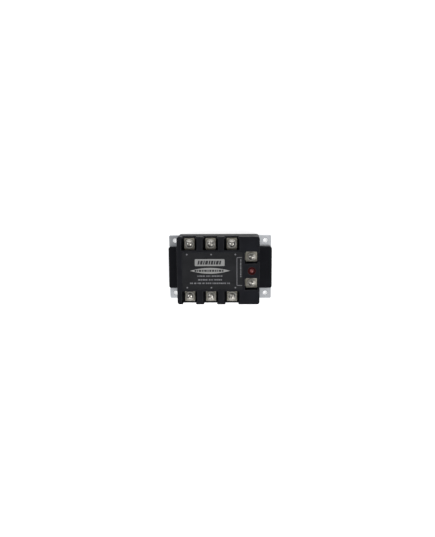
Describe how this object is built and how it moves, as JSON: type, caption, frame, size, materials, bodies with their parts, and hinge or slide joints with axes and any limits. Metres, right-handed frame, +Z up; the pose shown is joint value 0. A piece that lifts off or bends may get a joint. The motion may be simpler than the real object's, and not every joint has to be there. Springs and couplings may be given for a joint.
{
  "type": "three-phase solid state relay",
  "caption": "Panel-mount solid state relay: black moulded block on an aluminium base plate, with screw terminals in walled bays, a printed top plate and a red indicator.",
  "frame": {"origin": "centre of the mounting face, at the middle of the overall length and width", "axes": "+X along the length from the blank end to the control terminals, +Y across the width towards the line terminals, +Z up from the mounting face"},
  "size_m": [0.105, 0.0674, 0.028],
  "materials": {
    "black_moulding": "moulded, fine texture",
    "base_aluminium": "rolled, satin",
    "gasket_bead": "silicone sealing bead",
    "label_black": "printed plate, semi-matte",
    "zinc_steel": "zinc-plated steel",
    "nickel_brass": "nickel-plated, satin, slightly tarnished",
    "nickel_screw": "nickel-plated, bright",
    "nickel_copper": "nickel-plated copper bar",
    "bare_copper": "bare copper",
    "red_lens": "translucent red, glossy",
    "holder_plastic": "dark, glossy",
    "alumina": "unglazed",
    "silicon": "dark grey",
    "circuit_board": "green solder mask",
    "white_package": "moulded package",
    "capacitor_box": "moulded box",
    "resistor_body": "lacquered",
    "varistor_coat": "epoxy coated",
    "black_package": "moulded package",
    "soft_gel": "soft silicone, clear grey"
  },
  "bodies": {
    "root": {"housing": "black_moulding", "baseplate": "base_aluminium", "base_gasket": "gasket_bead", "label_plate": "label_black", "case_screws": "zinc_steel", "indicator_led": "red_lens", "led_holder": "holder_plastic", "output_nuts": "zinc_steel", "input_nuts": "zinc_steel", "substrate_copper": "bare_copper", "thyristor_dies": "silicon", "die_clips": "bare_copper", "gate_pins": "nickel_brass", "control_board": "circuit_board", "board_screws": "zinc_steel", "optocouplers": "white_package", "snubber_capacitors": "capacitor_box", "snubber_resistors": "resistor_body", "varistors": "varistor_coat", "bridge_rectifier": "black_package", "driver_transistors": "black_package", "chip_resistors": "black_package", "potting_gel": "soft_gel", "ceramic_1": "alumina", "line_busbar_1": "nickel_copper", "load_busbar_1": "nickel_copper", "ceramic_2": "alumina", "line_busbar_2": "nickel_copper", "load_busbar_2": "nickel_copper", "ceramic_3": "alumina", "line_busbar_3": "nickel_copper", "load_busbar_3": "nickel_copper", "input_tab_1": "nickel_copper", "input_tab_2": "nickel_copper"},
    "line_clamp_body_1": {"line_clamp_1": "nickel_brass", "line_washer_1": "zinc_steel"},
    "line_screw_body_1": {"line_screw_1": "nickel_screw"},
    "line_clamp_body_2": {"line_clamp_2": "nickel_brass", "line_washer_2": "zinc_steel"},
    "line_screw_body_2": {"line_screw_2": "nickel_screw"},
    "line_clamp_body_3": {"line_clamp_3": "nickel_brass", "line_washer_3": "zinc_steel"},
    "line_screw_body_3": {"line_screw_3": "nickel_screw"},
    "load_clamp_body_1": {"load_clamp_1": "nickel_brass", "load_washer_1": "zinc_steel"},
    "load_screw_body_1": {"load_screw_1": "nickel_screw"},
    "load_clamp_body_2": {"load_clamp_2": "nickel_brass", "load_washer_2": "zinc_steel"},
    "load_screw_body_2": {"load_screw_2": "nickel_screw"},
    "load_clamp_body_3": {"load_clamp_3": "nickel_brass", "load_washer_3": "zinc_steel"},
    "load_screw_body_3": {"load_screw_3": "nickel_screw"},
    "input_clamp_body_1": {"input_clamp_1": "nickel_brass", "input_washer_1": "zinc_steel"},
    "input_screw_body_1": {"input_screw_1": "nickel_screw"},
    "input_clamp_body_2": {"input_clamp_2": "nickel_brass", "input_washer_2": "zinc_steel"},
    "input_screw_body_2": {"input_screw_2": "nickel_screw"}
  },
  "joints": [
    {"name": "line_lift_1", "type": "slide", "parent": "root", "child": "line_clamp_body_1", "axis": [0, 0, 1], "range_m": [0, 0.004]},
    {"name": "line_turn_1", "type": "hinge", "parent": "line_clamp_body_1", "child": "line_screw_body_1", "pos_m": [-0.03, 0.0262, 0.02123], "axis": [0, 0, 1], "range_deg": [0, 1800]},
    {"name": "line_lift_2", "type": "slide", "parent": "root", "child": "line_clamp_body_2", "axis": [0, 0, 1], "range_m": [0, 0.004]},
    {"name": "line_turn_2", "type": "hinge", "parent": "line_clamp_body_2", "child": "line_screw_body_2", "pos_m": [-0.009, 0.0262, 0.02123], "axis": [0, 0, 1], "range_deg": [0, 1800]},
    {"name": "line_lift_3", "type": "slide", "parent": "root", "child": "line_clamp_body_3", "axis": [0, 0, 1], "range_m": [0, 0.004]},
    {"name": "line_turn_3", "type": "hinge", "parent": "line_clamp_body_3", "child": "line_screw_body_3", "pos_m": [0.012, 0.0262, 0.02123], "axis": [0, 0, 1], "range_deg": [0, 1800]},
    {"name": "load_lift_1", "type": "slide", "parent": "root", "child": "load_clamp_body_1", "axis": [0, 0, 1], "range_m": [0, 0.004]},
    {"name": "load_turn_1", "type": "hinge", "parent": "load_clamp_body_1", "child": "load_screw_body_1", "pos_m": [-0.03, -0.0262, 0.02123], "axis": [0, 0, 1], "range_deg": [0, 1800]},
    {"name": "load_lift_2", "type": "slide", "parent": "root", "child": "load_clamp_body_2", "axis": [0, 0, 1], "range_m": [0, 0.004]},
    {"name": "load_turn_2", "type": "hinge", "parent": "load_clamp_body_2", "child": "load_screw_body_2", "pos_m": [-0.009, -0.0262, 0.02123], "axis": [0, 0, 1], "range_deg": [0, 1800]},
    {"name": "load_lift_3", "type": "slide", "parent": "root", "child": "load_clamp_body_3", "axis": [0, 0, 1], "range_m": [0, 0.004]},
    {"name": "load_turn_3", "type": "hinge", "parent": "load_clamp_body_3", "child": "load_screw_body_3", "pos_m": [0.012, -0.0262, 0.02123], "axis": [0, 0, 1], "range_deg": [0, 1800]},
    {"name": "input_lift_1", "type": "slide", "parent": "root", "child": "input_clamp_body_1", "axis": [0, 0, 1], "range_m": [0, 0.0035]},
    {"name": "input_turn_1", "type": "hinge", "parent": "input_clamp_body_1", "child": "input_screw_body_1", "pos_m": [0.0313, 0.0132, 0.02123], "axis": [0, 0, 1], "range_deg": [0, 1800]},
    {"name": "input_lift_2", "type": "slide", "parent": "root", "child": "input_clamp_body_2", "axis": [0, 0, 1], "range_m": [0, 0.0035]},
    {"name": "input_turn_2", "type": "hinge", "parent": "input_clamp_body_2", "child": "input_screw_body_2", "pos_m": [0.0313, -0.0132, 0.02123], "axis": [0, 0, 1], "range_deg": [0, 1800]}
  ],
  "couplings": [
    {"joint": "line_turn_1", "follows": "line_lift_1", "rad_per_m": 7854},
    {"joint": "line_turn_2", "follows": "line_lift_2", "rad_per_m": 7854},
    {"joint": "line_turn_3", "follows": "line_lift_3", "rad_per_m": 7854},
    {"joint": "load_turn_1", "follows": "load_lift_1", "rad_per_m": 7854},
    {"joint": "load_turn_2", "follows": "load_lift_2", "rad_per_m": 7854},
    {"joint": "load_turn_3", "follows": "load_lift_3", "rad_per_m": 7854},
    {"joint": "input_turn_1", "follows": "input_lift_1", "rad_per_m": 8976},
    {"joint": "input_turn_2", "follows": "input_lift_2", "rad_per_m": 8976}
  ]
}
